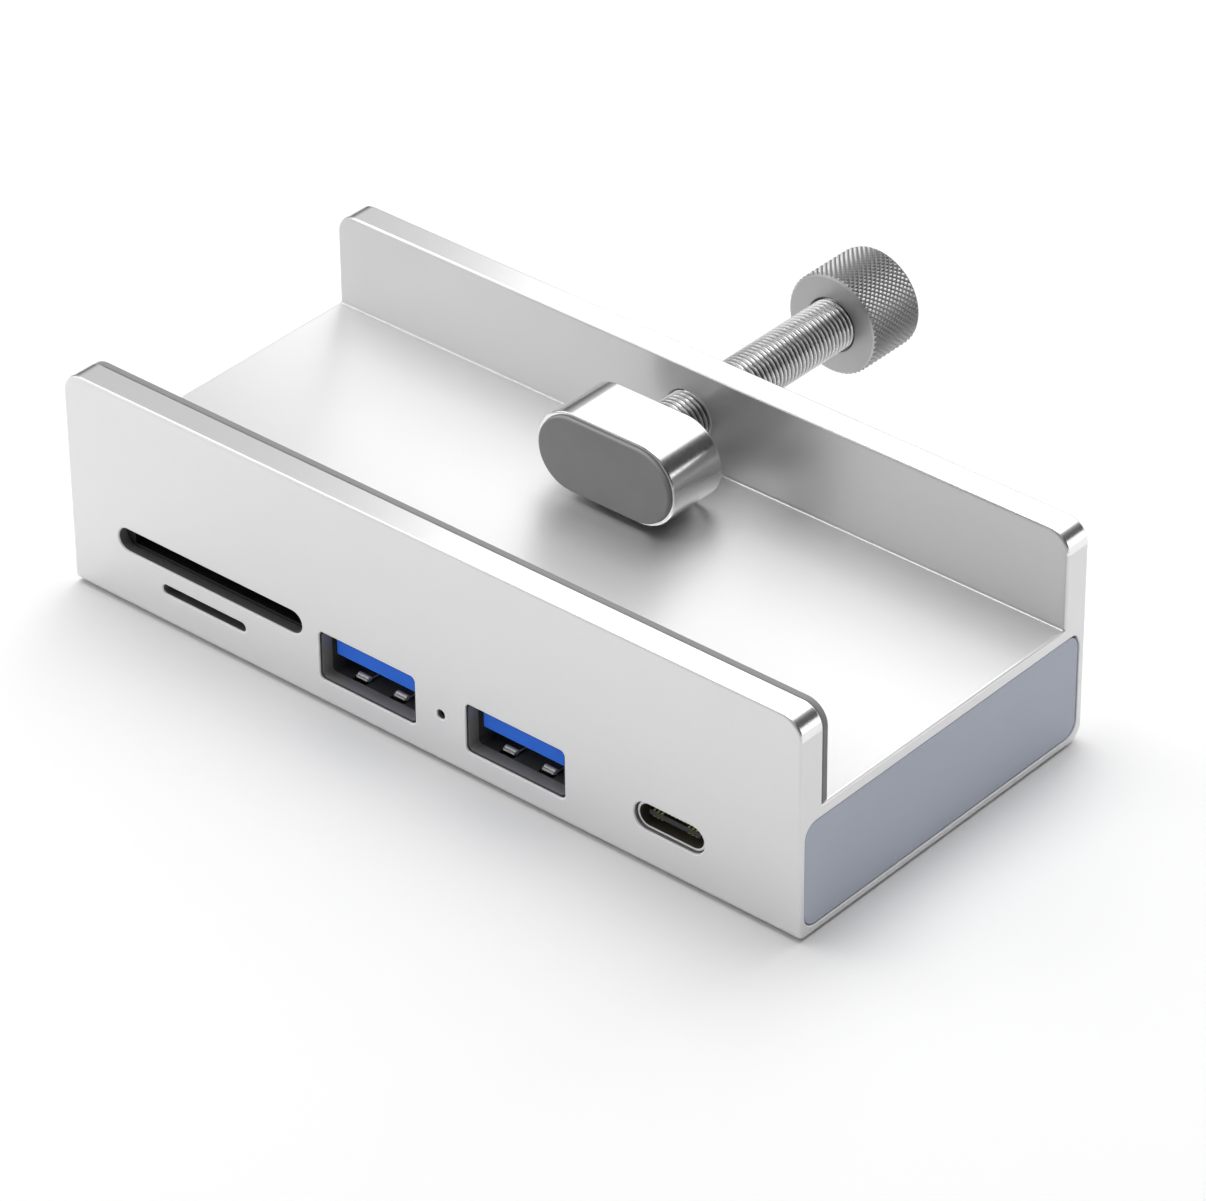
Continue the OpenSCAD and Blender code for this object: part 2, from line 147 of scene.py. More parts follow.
def grained(name, color, roughness, grain=0.2, depth=0.004, patch=9.0, tone=0.04, swing=0.04,
            metallic=0.0, stretch=(1, 1, 1), **constants):
    """A surface with fine grain in relief and roughness, and wide soft patches in colour."""
    made, tree, shader = material(name, metallic, **constants)
    fine = noise(tree, grain, 3.0, stretch)
    wide = noise(tree, patch, 2.0)
    wire(tree, shader,
         Base_Color=blend_colors(tree, wide, shade(color, -tone), shade(color, tone)),
         Roughness=spread(tree, fine, roughness - swing, roughness + swing),
         Normal=relief(tree, fine, depth))
    return made


# ---------- metals ----------

def anodised():
    return grained("anodised", (0.84, 0.84, 0.844), 0.33, grain=0.12, depth=0.0008, tone=0.01,
                   swing=0.025, metallic=0.5)


def wall_top():
    """Shinier look for the walls' tops and rounded corners. Chosen for brightness, not a known process."""
    return grained("wall_top", (0.86, 0.86, 0.863), 0.2, grain=0.12, depth=0.0006, tone=0.01,
                   swing=0.02, metallic=0.97)


def chamfer_highlight_paint():
    """Painted highlight: a near-white, barely metallic colour on the chamfer round each port."""
    return grained("chamfer_highlight_paint", (0.97, 0.97, 0.97), 0.35, grain=0.08, depth=0.002, tone=0.02,
                   metallic=0.1)


# Plated steel sheet, coloured very dark: painted shade for the inside of the ports.
def plated_and_shaded():
    return grained("plated_sheet_painted_shade", (0.135, 0.126, 0.112), 0.42, grain=0.12, depth=0.003, patch=3.0,
                   tone=0.08, metallic=0.5, stretch=(1, 0.15, 1))


def painted_highlight_edge():
    """Painted highlight: a near-white, barely metallic colour on the tips of the shell's springs and on the
    rim of the USB-C shells.
    """
    return grained("painted_highlight_edge", (0.92, 0.91, 0.89), 0.3, grain=0.08, depth=0.001, patch=0.5,
                   tone=0.05, metallic=0.2)


def polished():
    """Polished jaw: almost a mirror, with a fine haze."""
    return grained("polished_jaw", (0.80, 0.80, 0.80), 0.17, grain=0.35, depth=0.0012, patch=5.0,
                   tone=0.02, swing=0.035, metallic=1.0)


def distance_from_axis(tree):
    """Distance in metres from the screw's axis, which runs along Y."""
    low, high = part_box("clamp_screw")
    axis = (low + high) / 2
    where = tree.nodes.new("ShaderNodeTexCoord").outputs["Object"]
    from_axis = add(tree, "ShaderNodeVectorMath", Vector=where)
    from_axis.operation = "SUBTRACT"
    from_axis.inputs[1].default_value = (axis.x, 0, axis.z)
    flat = add(tree, "ShaderNodeVectorMath", Vector=from_axis.outputs[0])
    flat.operation = "MULTIPLY"
    flat.inputs[1].default_value = (1, 0, 1)
    length = add(tree, "ShaderNodeVectorMath", Vector=flat.outputs[0])
    length.operation = "LENGTH"
    return length.outputs["Value"]


def turned(name, color, roughness, pitch=0.09, depth=0.003, tone=0.07):
    """Steel with fine rings about the screw's axis."""
    made, tree, shader = material(name, 1.0)
    outwards = add(tree, "ShaderNodeCombineXYZ", X=distance_from_axis(tree))
    rings = add(tree, "ShaderNodeTexNoise", Vector=outwards.outputs[0], Detail=2.0, Scale=1 / (pitch * MM))
    patches = noise(tree, 1.2, 3.0)
    wire(tree, shader,
         Base_Color=blend_colors(tree, patches, shade(color, -tone), shade(color, tone)),
         Roughness=spread(tree, patches, roughness - 0.04, roughness + 0.05),
         Normal=relief(tree, rings.outputs["Fac"], depth))
    return made


def shaded_in_grooves(name, crest, groove, roughness, groove_r, crest_r):
    """Steel with painted shade: dark down in its grooves, bright on its crests."""
    made, tree, shader = material(name, 0.9)
    # Colour by distance from the axis: painted shade in the grooves.
    groove_shade = spread(tree, distance_from_axis(tree), 0, 1, groove_r * MM, crest_r * MM)
    fine = noise(tree, 0.15, 2.0)
    wire(tree, shader,
         Base_Color=blend_colors(tree, groove_shade, groove, crest),
         Roughness=spread(tree, fine, roughness - 0.05, roughness + 0.05),
         Normal=relief(tree, fine, 0.002))
    return made


def gold():
    return grained("gold_flash", (0.95, 0.86, 0.24), 0.3, grain=0.1, depth=0.002, patch=0.8,
                   tone=0.1, metallic=0.35)


# ---------- plastics, rubber and boards ----------

def cap_plastic():
    return grained("cap_plastic", (0.49, 0.53, 0.63), 0.42, grain=0.13, depth=0.004, patch=14.0,
                   tone=0.05, Specular_IOR_Level=0.4)


def silicone(name, color):
    return grained(name, color, 0.62, grain=0.22, depth=0.008, patch=4.0, tone=0.07,
                   Specular_IOR_Level=0.35)


def blue_plastic():
    return grained("blue_plastic", (0.012, 0.17, 0.90), 0.4, grain=0.25, depth=0.003, patch=3.0,
                   tone=0.08, Specular_IOR_Level=0.25)


def black_plastic():
    return grained("black_plastic", (0.014, 0.014, 0.015), 0.45, grain=0.14, depth=0.006, patch=2.0,
                   tone=0.2)


def epoxy():
    return grained("chip_epoxy", (0.022, 0.022, 0.024), 0.55, grain=0.07, depth=0.006, patch=1.5,
                   tone=0.15)


def solder_mask():
    """Green mask over copper: straight traces show as slightly raised, lighter bands."""
    made, tree, shader = material("solder_mask", Coat_Weight=0.4, Coat_Roughness=0.15)
    bricks = add(tree, "ShaderNodeTexBrick", Vector=place(tree), Scale=1 / (1.6 * MM), Mortar_Size=0.06,
                 Color1=(1, 1, 1, 1), Color2=(0.9, 0.9, 0.9, 1), Mortar=(0, 0, 0, 1))
    fine = noise(tree, 0.3)
    wire(tree, shader,
         Base_Color=blend_colors(tree, bricks.outputs["Fac"], (0.008, 0.10, 0.04), (0.02, 0.19, 0.08)),
         Roughness=spread(tree, fine, 0.28, 0.4),
         Normal=relief(tree, bricks.outputs["Fac"], 0.02))
    return made


def led_resin():
    return grained("led_resin", (0.82, 0.83, 0.74), 0.25, grain=0.2, patch=0.4, tone=0.06,
                   Subsurface_Weight=0.1)


# Nearly black: painted shade for the dark LED hole, not the light pipe's own colour.
def shaded_light_pipe():
    return grained("shaded_light_pipe", (0.003, 0.003, 0.003), 0.5, grain=0.3, depth=0.001, patch=0.5,
                   tone=0.1, Specular_IOR_Level=0.1)


SLOT_MATERIALS = {
    "anodised_aluminium": anodised(),
    "end_cap_plastic": cap_plastic(),
    "grip_silicone": silicone("grip_silicone", (0.25, 0.25, 0.252)),
    "pad_silicone": silicone("pad_silicone", (0.30, 0.30, 0.302)),
    "board_fibreglass": solder_mask(),
    "chip_black": epoxy(),
    "component_metal": grained("lid_metal", (0.68, 0.67, 0.64), 0.32, metallic=1.0, patch=1.0, tone=0.06),
    "ferrite_grey": grained("ferrite", (0.09, 0.09, 0.095), 0.6, grain=0.1, depth=0.01, patch=1.0, tone=0.2),
    "tantalum_yellow": grained("tantalum", (0.68, 0.42, 0.07), 0.45, patch=1.5, tone=0.08),
    "capacitor_tan": grained("ceramic", (0.46, 0.33, 0.20), 0.5, patch=0.5, tone=0.12),
    "shell_steel": plated_and_shaded(),
    "tongue_blue": blue_plastic(),
    "socket_plastic": black_plastic(),
    "contact_gold": gold(),
    "led_white": led_resin(),
    "light_pipe_clear": shaded_light_pipe(),
    "screw_steel": shaded_in_grooves("screw_steel", (0.84, 0.84, 0.84), (0.16, 0.16, 0.16), 0.30, 2.66, 3.0),
    "knob_steel": shaded_in_grooves("knob_steel", (0.42, 0.42, 0.42), (0.16, 0.16, 0.16), 0.44, 5.8, 5.97),
    "jaw_polished": polished(),
}
# One extrusion of one aluminium, shown with six finishes so that each face has its own brightness: lighter
# and darker copies that paint light and shade on its faces. These are their places in the housing's list,
# after the slot's own finish.
HIGHLIGHT_CHAMFERS, SHADED_PORT_WALLS, WALL_TOPS, SHADED_INNER_WALLS, LIT_FLOOR_FACES = 1, 2, 3, 4, 5
# Near-white chamfers round the openings: painted highlight.
CHAMFER_HIGHLIGHT_PAINT = chamfer_highlight_paint()
# Darker copy of the aluminium for the openings' walls: painted shade.
SHADED_PORT_WALL = grained("port_wall_painted_shade", (0.30, 0.30, 0.305), 0.4, grain=0.1, depth=0.002, metallic=0.6)
WALL_TOP = wall_top()
# Lighter copy of the aluminium for the channel floor: painted light.
LIT_CHANNEL_FLOOR = grained("channel_floor_painted_light", (0.94, 0.94, 0.943), 0.42, grain=0.12, depth=0.0008, tone=0.008,
                        swing=0.025, metallic=0.95)
# Darker copy of the aluminium for the walls' inner faces: painted shade.
SHADED_INNER_WALL = grained("inner_wall_painted_shade", (0.65, 0.65, 0.654), 0.3, grain=0.12, depth=0.0008, tone=0.01,
                     swing=0.025, metallic=0.6)
# Near-white finish for spring tips and shell rims: painted highlight.
PAINTED_HIGHLIGHT_EDGE = painted_highlight_edge()
# Lighter copy of the shell's finish for the flared lead-in: painted light.
LIT_LEAD_IN = grained("lead_in_painted_light", (0.38, 0.36, 0.33), 0.42, grain=0.12, depth=0.002, patch=3.0, tone=0.06,
                  metallic=0.5)
KNOB_FACE = turned("knob_face", (0.50, 0.50, 0.50), 0.48)

SLOT_OF = {}
for entry in frame["record"]["materials"]:
    for node_name in entry.get("nodes", []):
        SLOT_OF[node_name] = entry["slot"]
for node_name, node_object in frame["nodes"].items():
    SLOT_OF.setdefault(node_name, node_object.data.materials[0].name)


# ---------- mesh helpers ----------
WELD = 0.0001 * MM
FLAT = 0.02
SHARP = math.radians(25)
SHELL_SHARP = math.radians(50)
BEVEL_ANGLE = math.radians(35)
PARALLEL = 0.99


def fresh_shape(node):
    """The CAD node's mesh with its corners joined and its flat faces merged."""
    shape = bmesh.new()
    shape.from_mesh(frame["nodes"][node].data)
    bmesh.ops.remove_doubles(shape, verts=shape.verts, dist=WELD)
    bmesh.ops.dissolve_limit(shape, angle_limit=FLAT, verts=shape.verts, edges=shape.edges)
    return shape


def middle(edge):
    return (edge.verts[0].co + edge.verts[1].co) / 2 / MM


def runs_along_x(edge):
    return abs((edge.verts[1].co - edge.verts[0].co).normalized().x) > PARALLEL


def is_sharp(edge, sharp=SHARP):
    return len(edge.link_faces) == 2 and edge.calc_face_angle() > sharp


def mark_widths(shape, layer_name, width_at, widest):
    """Writes each sharp edge's bevel width, as a share of the widest, for a bevel modifier."""
    layer = shape.edges.layers.float.new(layer_name)
    for edge in shape.edges:
        if is_sharp(edge):
            edge[layer] = width_at(edge) / widest


def smooth_all(shape, sharp=SHARP):
    for face in shape.faces:
        face.smooth = True
    for edge in shape.edges:
        edge.smooth = not is_sharp(edge, sharp)


def make_piece(name, shape, node, body, more_finishes=()):
    """Turns a shape into a piece that stands for the node and rides on its body.
    Its faces index the slot's own finish first, and then more_finishes."""
    mesh = bpy.data.meshes.new(name)
    shape.to_mesh(mesh)
    shape.free()
    if "custom_normal" in mesh.attributes:
        mesh.attributes.remove(mesh.attributes["custom_normal"])
    for finish in (SLOT_MATERIALS[SLOT_OF[node]], *more_finishes):
        mesh.materials.append(finish)
    piece = bpy.data.objects.new(name, mesh)
    bpy.context.scene.collection.objects.link(piece)
    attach(piece, body)
    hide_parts(node)
    return piece


def bevel(piece, width, steps=2, layer=None, finish_index=-1, name="bevel"):
    modifier = piece.modifiers.new(name, "BEVEL")
    modifier.width = width * MM
    modifier.segments = steps
    modifier.use_clamp_overlap = False
    modifier.loop_slide = False
    modifier.material = finish_index
    modifier.miter_outer = "MITER_ARC"
    modifier.face_strength_mode = "FSTR_AFFECTED"
    if layer:
        modifier.limit_method = "WEIGHT"
        modifier.edge_weight = layer
    else:
        modifier.limit_method = "ANGLE"
        modifier.angle_limit = BEVEL_ANGLE


def even_normals(piece):
    modifier = piece.modifiers.new("normals", "WEIGHTED_NORMAL")
    modifier.keep_sharp = True
    modifier.use_face_influence = True


def rounded_copy(node, name, body, width, steps=2):
    """A detailed copy of a CAD node with every sharp edge softened."""
    shape = fresh_shape(node)
    for face in shape.faces:
        face.smooth = True
    piece = make_piece(name, shape, node, body)
    bevel(piece, width, steps)
    even_normals(piece)
    return piece


# ---------- housing ----------
OUTER_EDGE = 0.34
PORT_EDGE = 0.2
RECESS_EDGE = 0.12
HOLE_EDGE = 0.3
CORNER_FILLET = 0.22

house_low, house_high = (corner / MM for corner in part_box("housing"))
strip_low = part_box("front_grip_strip")[0] / MM
jaw_low, jaw_high = (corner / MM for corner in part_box("clamp_jaw"))
CHANNEL_Z = strip_low.z
FRONT_WALL_Y = strip_low.y
WALL_T = FRONT_WALL_Y - house_low.y
REAR_WALL_Y = house_high.y - WALL_T
SCREW_Z = (jaw_low.z + jaw_high.z) / 2
NEAR = 0.02
# The walls' rounded corners are looked for this close to the ends and to the top
CORNER_ZONE = 3
# Ports are looked for between these heights, and their walls at these depths behind the front face
PORT_LOWEST, PORT_HIGHEST = 1.5, CHANNEL_Z - 1
SKIN_START, SKIN_END = 0.1, 1.3
# On the two ends, edges further than this inside the base's outline belong to the panel's recess
PANEL_INSET = 0.6
# Half the square around the screw's axis that holds the edges of its hole
HOLE_REACH = 3.3
# A rounded corner's face has more than this of X and of Z in its normal, and less than this of Y
TURNING, SIDEWAYS = 0.02, 0.1


def near(a, b):
    return abs(a - b) < NEAR


def on_outer_outline(edge):
    """Edges of the two ends outside the panels, along the walls' tops and at the walls' corners."""
    p = middle(edge)
    if near(abs(p.x), house_high.x):
        in_depth = house_low.y + PANEL_INSET < p.y < house_high.y - PANEL_INSET
        in_height = PANEL_INSET < p.z < CHANNEL_Z - PANEL_INSET
        return not (in_depth and in_height)
    if runs_along_x(edge):
        return near(p.z, house_high.z)
    at_corner = abs(p.x) > house_high.x - CORNER_ZONE and p.z > house_high.z - CORNER_ZONE
    on_wall = any(near(p.y, y) for y in (house_low.y, FRONT_WALL_Y, REAR_WALL_Y, house_high.y))
    return at_corner and on_wall


def outer_width(edge):
    p = middle(edge)
    if runs_along_x(edge) and near(p.y, REAR_WALL_Y) and near(p.z, CHANNEL_Z):
        return CORNER_FILLET
    if near(p.y, FRONT_WALL_Y) and near(p.z, CHANNEL_Z):
        return 0.0
    return OUTER_EDGE if on_outer_outline(edge) else 0.0


def port_width(edge):
    """Edges round the openings in the front, rear and end faces, and round the screw's hole."""
    p = middle(edge)
    ends = [v.co / MM for v in edge.verts]
    inside_x = abs(p.x) < house_high.x - CORNER_ZONE
    if inside_x and PORT_LOWEST < p.z < PORT_HIGHEST:
        if all(near(v.y, house_low.y) or near(v.y, house_high.y) for v in ends):
            return PORT_EDGE
    if abs(p.x) < HOLE_REACH and abs(p.z - SCREW_Z) < HOLE_REACH:
        if all(near(v.y, REAR_WALL_Y) or near(v.y, house_high.y) for v in ends):
            return HOLE_EDGE
    if near(abs(p.x), house_high.x) and not on_outer_outline(edge):
        return RECESS_EDGE
    return 0.0


def mark_port_walls(shape):
    """The walls of the openings in the front face get a darker finish: painted shade."""
    for face in shape.faces:
        x, y, z = face.calc_center_median() / MM
        in_front_wall = SKIN_START < y - house_low.y < SKIN_END
        inside_x = abs(x) < house_high.x - CORNER_ZONE
        if in_front_wall and inside_x and PORT_LOWEST < z < PORT_HIGHEST:
            face.material_index = SHADED_PORT_WALLS


def mark_walls(shape):
    """The tops and corners of the walls, their inner faces and the channel floor each get a finish: the inner
    faces a darker copy that paints shade, the channel floor a lighter copy that paints light.
    """
    for face in shape.faces:
        x, y, z = face.calc_center_median() / MM
        turning = min(abs(face.normal.x), abs(face.normal.z)) > TURNING and abs(face.normal.y) < SIDEWAYS
        at_corner = turning and abs(x) > house_high.x - CORNER_ZONE and z > house_high.z - CORNER_ZONE
        if at_corner or near(z, house_high.z):
            face.material_index = WALL_TOPS
        elif z > CHANNEL_Z + 1 and (near(y, REAR_WALL_Y) or near(y, FRONT_WALL_Y)):
            face.material_index = SHADED_INNER_WALLS
        elif near(z, CHANNEL_Z) and face.normal.z > PARALLEL:
            face.material_index = LIT_FLOOR_FACES


def make_housing():
    shape = fresh_shape("housing")
    mark_widths(shape, "outer_bevel", outer_width, OUTER_EDGE)
    mark_widths(shape, "port_bevel", port_width, HOLE_EDGE)
    smooth_all(shape)
    outer, port = (shape.edges.layers.float[n] for n in ("outer_bevel", "port_bevel"))
    for edge in shape.edges:
        if edge[outer] or edge[port]:
            edge.smooth = True
    mark_port_walls(shape)
    mark_walls(shape)
    finishes = (CHAMFER_HIGHLIGHT_PAINT, SHADED_PORT_WALL, WALL_TOP, SHADED_INNER_WALL, LIT_CHANNEL_FLOOR)
    piece = make_piece("housing_extrusion", shape, "housing", "hub", finishes)
    bevel(piece, HOLE_EDGE, 2, "port_bevel", finish_index=HIGHLIGHT_CHAMFERS, name="port_bevel")
    bevel(piece, OUTER_EDGE, 3, "outer_bevel", name="outer_bevel")
    even_normals(piece)


# ---------- USB-A shells ----------
FLARE_DEPTH = 1.25
FLARE = 0.2
SHEET = 0.3
# The box of a shell reaches this far beyond its walls at each side, where its ears are
EAR = 1
SPRING_X = 2.65
TIP_START, TIP_END = 1.3, 2.6
TIP_HALF_W = 0.8
TIP_LIFT = 0.05
# The flare moves the mouth's vertices that are this close to an inner wall
FLARE_ZONE = 0.6
# Faces of the flare lie further than this from the shell's outside, and from its front
FLARE_FROM_WALL = 0.12
MOUTH_SKIP = 0.05
# Places in the shells' lists of finishes, after the slot's own
PAINTED_HIGHLIGHT_FACES, LIT_LEAD_IN_FACES = 1, 2
USB_C_EDGE = 0.06


def flare_mouth(shape, low, high):
    """Opens the inner walls of the mouth outwards over the first stretch, as a lead-in."""
    front = low.y
    cut_at = Vector((0, front + FLARE_DEPTH, 0)) * MM
    bmesh.ops.bisect_plane(shape, geom=shape.verts[:] + shape.edges[:] + shape.faces[:],
                           dist=WELD, plane_co=cut_at, plane_no=(0, 1, 0))
    middle_x, middle_z = (low.x + high.x) / 2, (low.z + high.z) / 2
    half_w, half_h = (high.x - low.x) / 2 - EAR - SHEET, (high.z - low.z) / 2 - SHEET
    for vert in shape.verts:
        x, y, z = vert.co / MM
        inner = abs(x - middle_x) < half_w + NEAR and abs(z - middle_z) < half_h + NEAR
        if near(y, front) and inner:
            vert.co.x += math.copysign(FLARE, x - middle_x) * MM * (abs(x - middle_x) > half_w - FLARE_ZONE)
            vert.co.z += math.copysign(FLARE, z - middle_z) * MM * (abs(z - middle_z) > half_h - FLARE_ZONE)


def make_usb_c_shell(side):
    """A drawn shell whose rim, at the mouth, has a painted highlight."""
    node = side + "_usb_c_shell"
    shape = fresh_shape(node)
    low, high = (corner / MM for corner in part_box(node))
    mouth = low.y if side == "front" else high.y
    for face in shape.faces:
        face.smooth = True
        y = face.calc_center_median().y / MM
        if near(y, mouth):
            face.material_index = PAINTED_HIGHLIGHT_FACES
    piece = make_piece(side + "_usb_c_drawn_shell", shape, node, "hub", (PAINTED_HIGHLIGHT_EDGE,))
    bevel(piece, USB_C_EDGE)
    even_normals(piece)


def mark_shell(shape, low, high):
    """The tips of the four springs get the second finish, a painted highlight, and the flared lead-in the
    third, a lighter copy of the shell's finish that paints light on it.
    """
    for face in shape.faces:
        x, y, z = face.calc_center_median() / MM
        from_walls = min(z - low.z, high.z - z)
        from_sides = min(x - low.x, high.x - x) - EAR
        from_spring = abs(abs(x - (low.x + high.x) / 2) - SPRING_X)
        at_tip = TIP_START < y - low.y < TIP_END and from_spring < TIP_HALF_W
        if at_tip and from_walls > SHEET + TIP_LIFT:
            face.material_index = PAINTED_HIGHLIGHT_FACES
        inner = min(from_walls, from_sides) > FLARE_FROM_WALL
        if MOUTH_SKIP < y - low.y < FLARE_DEPTH and inner:
            face.material_index = LIT_LEAD_IN_FACES


def make_usb_a_shell(side):
    node = side + "_usb_a_shell"
    shape = fresh_shape(node)
    low, high = (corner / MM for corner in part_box(node))
    flare_mouth(shape, low, high)
    smooth_all(shape, SHELL_SHARP)
    mark_shell(shape, low, high)
    make_piece(side + "_usb_a_shell_flared", shape, node, "hub", (PAINTED_HIGHLIGHT_EDGE, LIT_LEAD_IN))


# ---------- screw and knob ----------
THREAD_PITCH = 0.625
THREAD_DEPTH = 0.383
RINGS_PER_PITCH = 10
THREAD_SIDES = 48
CREST, FLANK = 0.125, 0.3125
RUN_OUT = 0.1
JAW_GAP = 0.1
NECK_R, CLIP_GROOVE_R = 2.0, 1.6
SCREW_EDGE = 0.12


def thread_height(phase):
    """Height of the thread over one pitch, 0 at the root and 1 at the crest."""
    x = abs(phase % 1.0 - 0.5) * 2
    return 1 - max(0.0, min(1.0, (x - CREST) / (2 * FLANK)))


def revolve(profile, sides, axis_z):
    """Closed surface about the screw's axis. profile lists (y, radius function of the turn)."""
    shape = bmesh.new()
    rings = []
    for y, radius_at in profile:
        ring = []
        for i in range(sides):
            turn = i / sides
            angle, radius = math.tau * turn, radius_at(turn)
            ring.append(shape.verts.new(Vector((radius * math.sin(angle), y,
                                                axis_z + radius * math.cos(angle))) * MM))
        rings.append(ring)
    for first, second in zip(rings, rings[1:]):
        for i in range(sides):
            j = (i + 1) % sides
            shape.faces.new((first[i], first[j], second[j], second[i]))
    for ring in (rings[0], rings[-1]):
        shape.faces.new(ring)
    bmesh.ops.recalc_face_normals(shape, faces=shape.faces)
    return shape


def plain(radius):
    return lambda turn: radius


def threaded(y, start, radius):
    """Radius round one ring of the thread, running out into a chamfer at its start."""
    root = radius - THREAD_DEPTH
    limit = root - RUN_OUT + (y - start)

    def at(turn):
        return min(limit, root + THREAD_DEPTH * thread_height(y / THREAD_PITCH - turn))
    return at


def make_screw():
    low, high = (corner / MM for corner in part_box("clamp_screw"))
    clip_low, clip_high = (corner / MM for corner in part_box("retaining_clip"))
    knob_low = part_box("thumb_knob")[0] / MM
    radius = (high.x - low.x) / 2
    neck, groove, edge = NECK_R, CLIP_GROOVE_R, SCREW_EDGE
    start = jaw_high.y + JAW_GAP
    root = radius - THREAD_DEPTH
    profile = [(low.y, plain(neck - edge)), (low.y + edge, plain(neck)),
               (clip_low.y, plain(neck)), (clip_low.y, plain(groove)),
               (clip_high.y, plain(groove)), (clip_high.y, plain(neck)), (start, plain(neck))]
    end = knob_low.y + THREAD_PITCH
    count = round((end - start) / THREAD_PITCH * RINGS_PER_PITCH)
    for i in range(count + 1):
        y = start + (end - start) * i / count
        profile.append((y, threaded(y, start, radius)))
    profile += [(end + RUN_OUT, plain(root)), (high.y - edge, plain(root)), (high.y, plain(root - edge))]
    shape = revolve(profile, THREAD_SIDES, SCREW_Z)
    smooth_all(shape)
    make_piece("threaded_screw", shape, "clamp_screw", "screw")


KNURL_STARTS = 56
KNURL_PITCH = 0.75
KNURL_DEPTH = 0.2
KNURL_TOP = 1.35
SIDES_PER_START = 6
RINGS_PER_KNURL = 8
KNOB_CHAMFER = 0.35
BORE_CHAMFER = 0.25
BORE_PLAY = 0.02
KNOB_FACE_TILT = 0.65
# Place of KNOB_FACE in the knob's list of finishes, after the slot's own
KNOB_ENDS = 1


def ridge(x):
    return 1 - abs(2 * (x % 1.0) - 1)


def knurled(y, radius, limit):
    """Radius round one ring of the diamond knurl, where two families of grooves cross."""
    def at(turn):
        around, along = turn * KNURL_STARTS, y / KNURL_PITCH
        height = min(ridge(around + along), ridge(around - along), 1 / KNURL_TOP) * KNURL_TOP
        return min(limit, radius - KNURL_DEPTH * (1 - height))
    return at


def make_knob():
    low, high = (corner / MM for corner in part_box("thumb_knob"))
    screw_low, screw_high = (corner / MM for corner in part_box("clamp_screw"))
    radius, bore = (high.x - low.x) / 2, (screw_high.x - screw_low.x) / 2 + BORE_PLAY
    face, lead = radius - KNOB_CHAMFER, BORE_CHAMFER
    profile = [(screw_high.y, plain(bore)), (low.y + lead, plain(bore)), (low.y, plain(bore + lead))]
    profile.append((low.y, plain(face)))
    count = round((high.y - low.y) / KNURL_PITCH * RINGS_PER_KNURL)
    for i in range(1, count):
        y = low.y + (high.y - low.y) * i / count
        limit = face + min(y - low.y, high.y - y)
        profile.append((y, knurled(y, radius, limit)))
    profile.append((high.y, plain(face)))
    shape = revolve(profile, KNURL_STARTS * SIDES_PER_START, SCREW_Z)
    smooth_all(shape)
    for face in shape.faces:
        if abs(face.normal.y) > KNOB_FACE_TILT:
            face.material_index = KNOB_ENDS
    make_piece("knurled_knob", shape, "thumb_knob", "screw", (KNOB_FACE,))


# ---------- jaw and pad ----------
JAW_EDGE = 0.35
JAW_PAD_SIDE_EDGE = JAW_EDGE * 0.55
RECESS_RIM = 0.08
RIM_ZONE = 0.1


def jaw_width(edge):
    """The outer rims of the jaw are well rounded, the mouth of the pad recess only a little."""
    p = middle(edge)
    at_face = near(p.y, jaw_low.y) or near(p.y, jaw_high.y)
    half_h = (jaw_high.z - jaw_low.z) / 2
    half_w = (jaw_high.x - jaw_low.x) / 2 - half_h
    out_x = max(0.0, abs(p.x) - half_w)
    from_middle = math.hypot(out_x, p.z - SCREW_Z)
    if at_face and from_middle > half_h - RIM_ZONE:
        return JAW_EDGE if near(p.y, jaw_high.y) else JAW_PAD_SIDE_EDGE
    return RECESS_RIM if at_face else 0.0


def make_jaw():
    shape = fresh_shape("clamp_jaw")
    mark_widths(shape, "rim_bevel", jaw_width, JAW_EDGE)
    smooth_all(shape)
    rim = shape.edges.layers.float["rim_bevel"]
    for edge in shape.edges:
        if edge[rim]:
            edge.smooth = True
    piece = make_piece("polished_jaw", shape, "clamp_jaw", "jaw")
    bevel(piece, JAW_EDGE, 4, "rim_bevel")
    even_normals(piece)


# ---------- CAD nodes that keep their own mesh ----------
BOX_EDGES = {
    "main_board": 0.05, "hub_controller": 0.08, "card_controller": 0.08, "firmware_flash": 0.1,
    "crystal": 0.12, "buck_regulator": 0.07, "power_inductor": 0.3, "bulk_capacitors": 0.15,
    "ceramic_capacitors": 0.05, "chip_resistors": 0.04, "esd_arrays": 0.08,
    "left_usb_a_contacts": 0.03, "right_usb_a_contacts": 0.03, "front_usb_c_contacts": 0.015,
    "upstream_usb_c_contacts": 0.015, "sd_contacts": 0.05, "microsd_contacts": 0.04,
    "sd_socket_base": 0.1, "microsd_socket_base": 0.08, "sd_socket_cover": 0.06,
    "microsd_socket_cover": 0.05, "status_led": 0.08, "light_pipe": 0.06,
    "retaining_clip": 0.06, "swivel_washer": 0.05,
}


def refine(node, width):
    """Gives a CAD node its slot's material, and softens its edges with modifiers only."""
    piece = frame["nodes"][node]
    piece.data.materials.clear()
    piece.data.materials.append(SLOT_MATERIALS[SLOT_OF[node]])
    weld = piece.modifiers.new("weld", "WELD")
    weld.merge_threshold = WELD
    bevel(piece, width)


# ---------- build ----------
CAP_EDGE = 0.1
TONGUE_EDGE = 0.12
GRIP_EDGE = 0.14
USB_C_TONGUE_EDGE = 0.08
PAD_EDGE = 0.22

